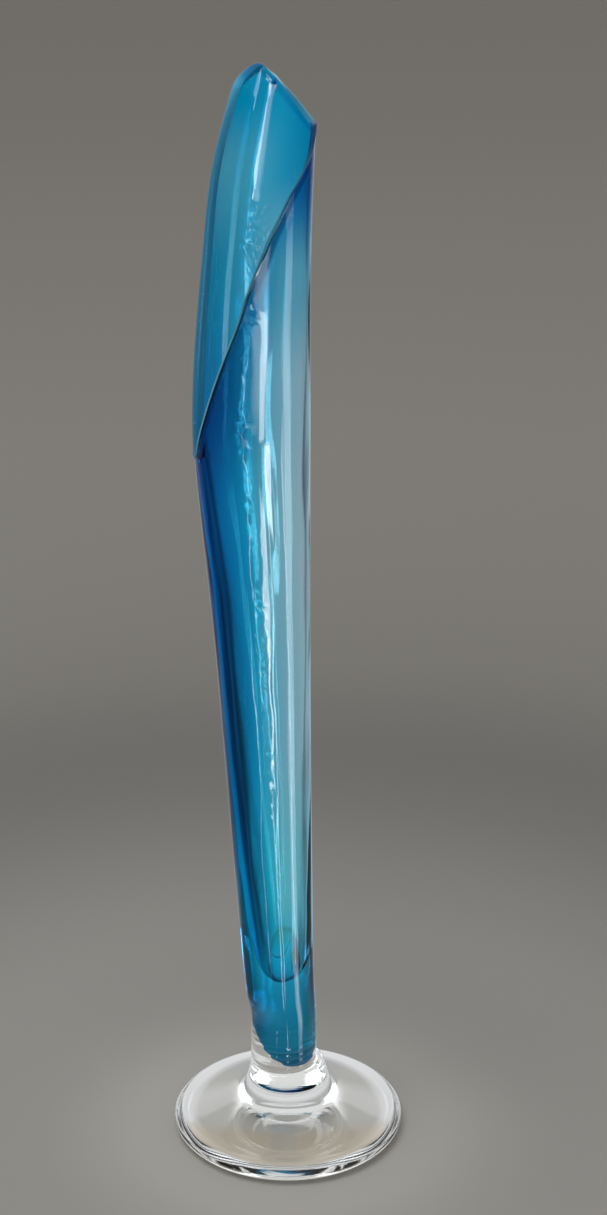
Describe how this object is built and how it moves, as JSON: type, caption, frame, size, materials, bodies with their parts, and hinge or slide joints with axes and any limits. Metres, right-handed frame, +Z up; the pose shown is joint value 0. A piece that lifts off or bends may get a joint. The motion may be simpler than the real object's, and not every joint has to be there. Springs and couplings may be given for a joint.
{
  "type": "swung glass vase",
  "caption": "Tall leaning blown-glass vase with a long slanting cut mouth, blue inside a clear casing, on a clear domed foot.",
  "frame": {"origin": "centre of the foot's underside, on the surface that the vase stands on", "axes": "+Z up, +X towards the straight side of the body, -Y the side that the long slanting cut faces"},
  "size_m": [0.12, 0.12, 0.5469],
  "materials": {
    "clear_foot_glass": "polished, thick and clear",
    "clear_collar_glass": "polished, tooled rings",
    "blue_glass": "polished, transparent blue",
    "clear_casing_glass": "polished, thin and clear"
  },
  "bodies": {
    "root": {"foot": "clear_foot_glass", "collar": "clear_collar_glass", "blue_body": "blue_glass", "clear_casing": "clear_casing_glass"}
  },
  "joints": []
}
